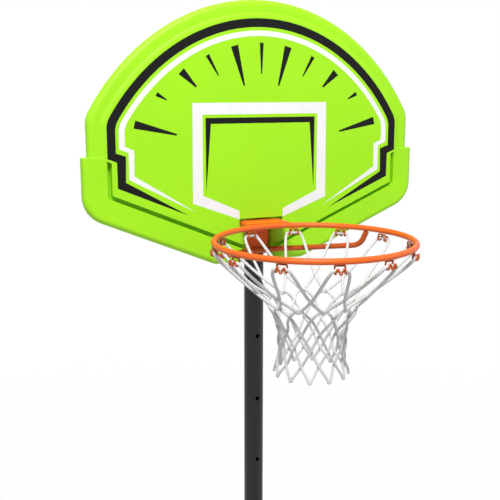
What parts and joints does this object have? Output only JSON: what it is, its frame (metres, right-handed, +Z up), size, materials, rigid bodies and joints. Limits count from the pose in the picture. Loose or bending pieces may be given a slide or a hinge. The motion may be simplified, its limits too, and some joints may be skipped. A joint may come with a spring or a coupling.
{
  "type": "portable basketball stand",
  "caption": "Youth basketball stand: filled base on wheels, height-adjustable pole, moulded backboard, and a fixed rim with a cord net.",
  "frame": {"origin": "on the floor, under the middle of the whole stand", "axes": "+Z up along the pole, -Y towards the player's side where the rim is, +X to the right seen from the rim side"},
  "size_m": [0.792, 1.0944, 2.6139],
  "materials": {
    "lime_plastic": "satin moulded polyethylene with a printed panel",
    "orange_paint": "powder coat",
    "black_paint": "satin powder coat",
    "black_plastic": "moulded",
    "zinc": "zinc plated",
    "white_cord": "braided cord",
    "rubber": "moulded"
  },
  "bodies": {
    "stand": {"middle_pole": "black_paint", "bottom_pole": "black_paint", "pole_collar": "black_plastic", "pin_housing": "black_paint", "base_tank": "black_plastic", "filler_seal": "rubber", "wheel_axle": "zinc", "axle_cap_left": "black_plastic", "axle_cap_right": "black_plastic", "strut_left": "black_paint", "strut_right": "black_paint", "strut_pole_bolt": "zinc", "strut_pole_nut": "zinc", "strut_bolt_left": "zinc", "strut_bolt_right": "zinc", "strut_nut_left": "zinc", "strut_nut_right": "zinc"},
    "mast": {"upper_pole": "black_paint", "pole_cap": "black_plastic", "guide_bush": "black_plastic", "backboard": "lime_plastic", "board_strap_upper": "black_paint", "board_strap_lower": "black_paint", "strap_screw_1": "zinc", "strap_screw_2": "zinc", "strap_screw_3": "zinc", "strap_screw_4": "zinc", "rim_bracket": "orange_paint", "rim_bolt_upper": "zinc", "rim_bolt_lower": "zinc", "rim_nut_upper": "zinc", "rim_nut_lower": "zinc", "rim_ring": "orange_paint", "brace_rod": "orange_paint", "net_hook_01": "orange_paint", "net_hook_02": "orange_paint", "net_hook_03": "orange_paint", "net_hook_04": "orange_paint", "net_hook_05": "orange_paint", "net_hook_06": "orange_paint", "net_hook_07": "orange_paint", "net_hook_08": "orange_paint", "net_hook_09": "orange_paint", "net_hook_10": "orange_paint", "net_hook_11": "orange_paint", "net_hook_12": "orange_paint", "net": "white_cord"},
    "lock_pin": {"height_pin": "zinc", "pin_knob": "black_plastic"},
    "filler_cap": {"filler_cap": "black_plastic"},
    "left_wheel": {"wheel_left": "black_plastic"},
    "right_wheel": {"wheel_right": "black_plastic"}
  },
  "joints": [
    {"name": "mast_height", "type": "slide", "parent": "stand", "child": "mast", "axis": [0, 0, 1], "range_m": [-0.4572, 0.1524]},
    {"name": "height_pin_slide", "type": "slide", "parent": "stand", "child": "lock_pin", "axis": [0, 1, 0], "range_m": [0, 0.014]},
    {"name": "filler_cap_turn", "type": "hinge", "parent": "stand", "child": "filler_cap", "pos_m": [0.14, 0.23, 0.13], "axis": [0, 0, 1], "range_deg": [0, 360]},
    {"name": "left_wheel_spin", "type": "hinge", "parent": "stand", "child": "left_wheel", "pos_m": [-0.094, -0.0527, 0.058], "axis": [1, 0, 0], "continuous": true},
    {"name": "right_wheel_spin", "type": "hinge", "parent": "stand", "child": "right_wheel", "pos_m": [0.094, -0.0527, 0.058], "axis": [1, 0, 0], "continuous": true}
  ]
}
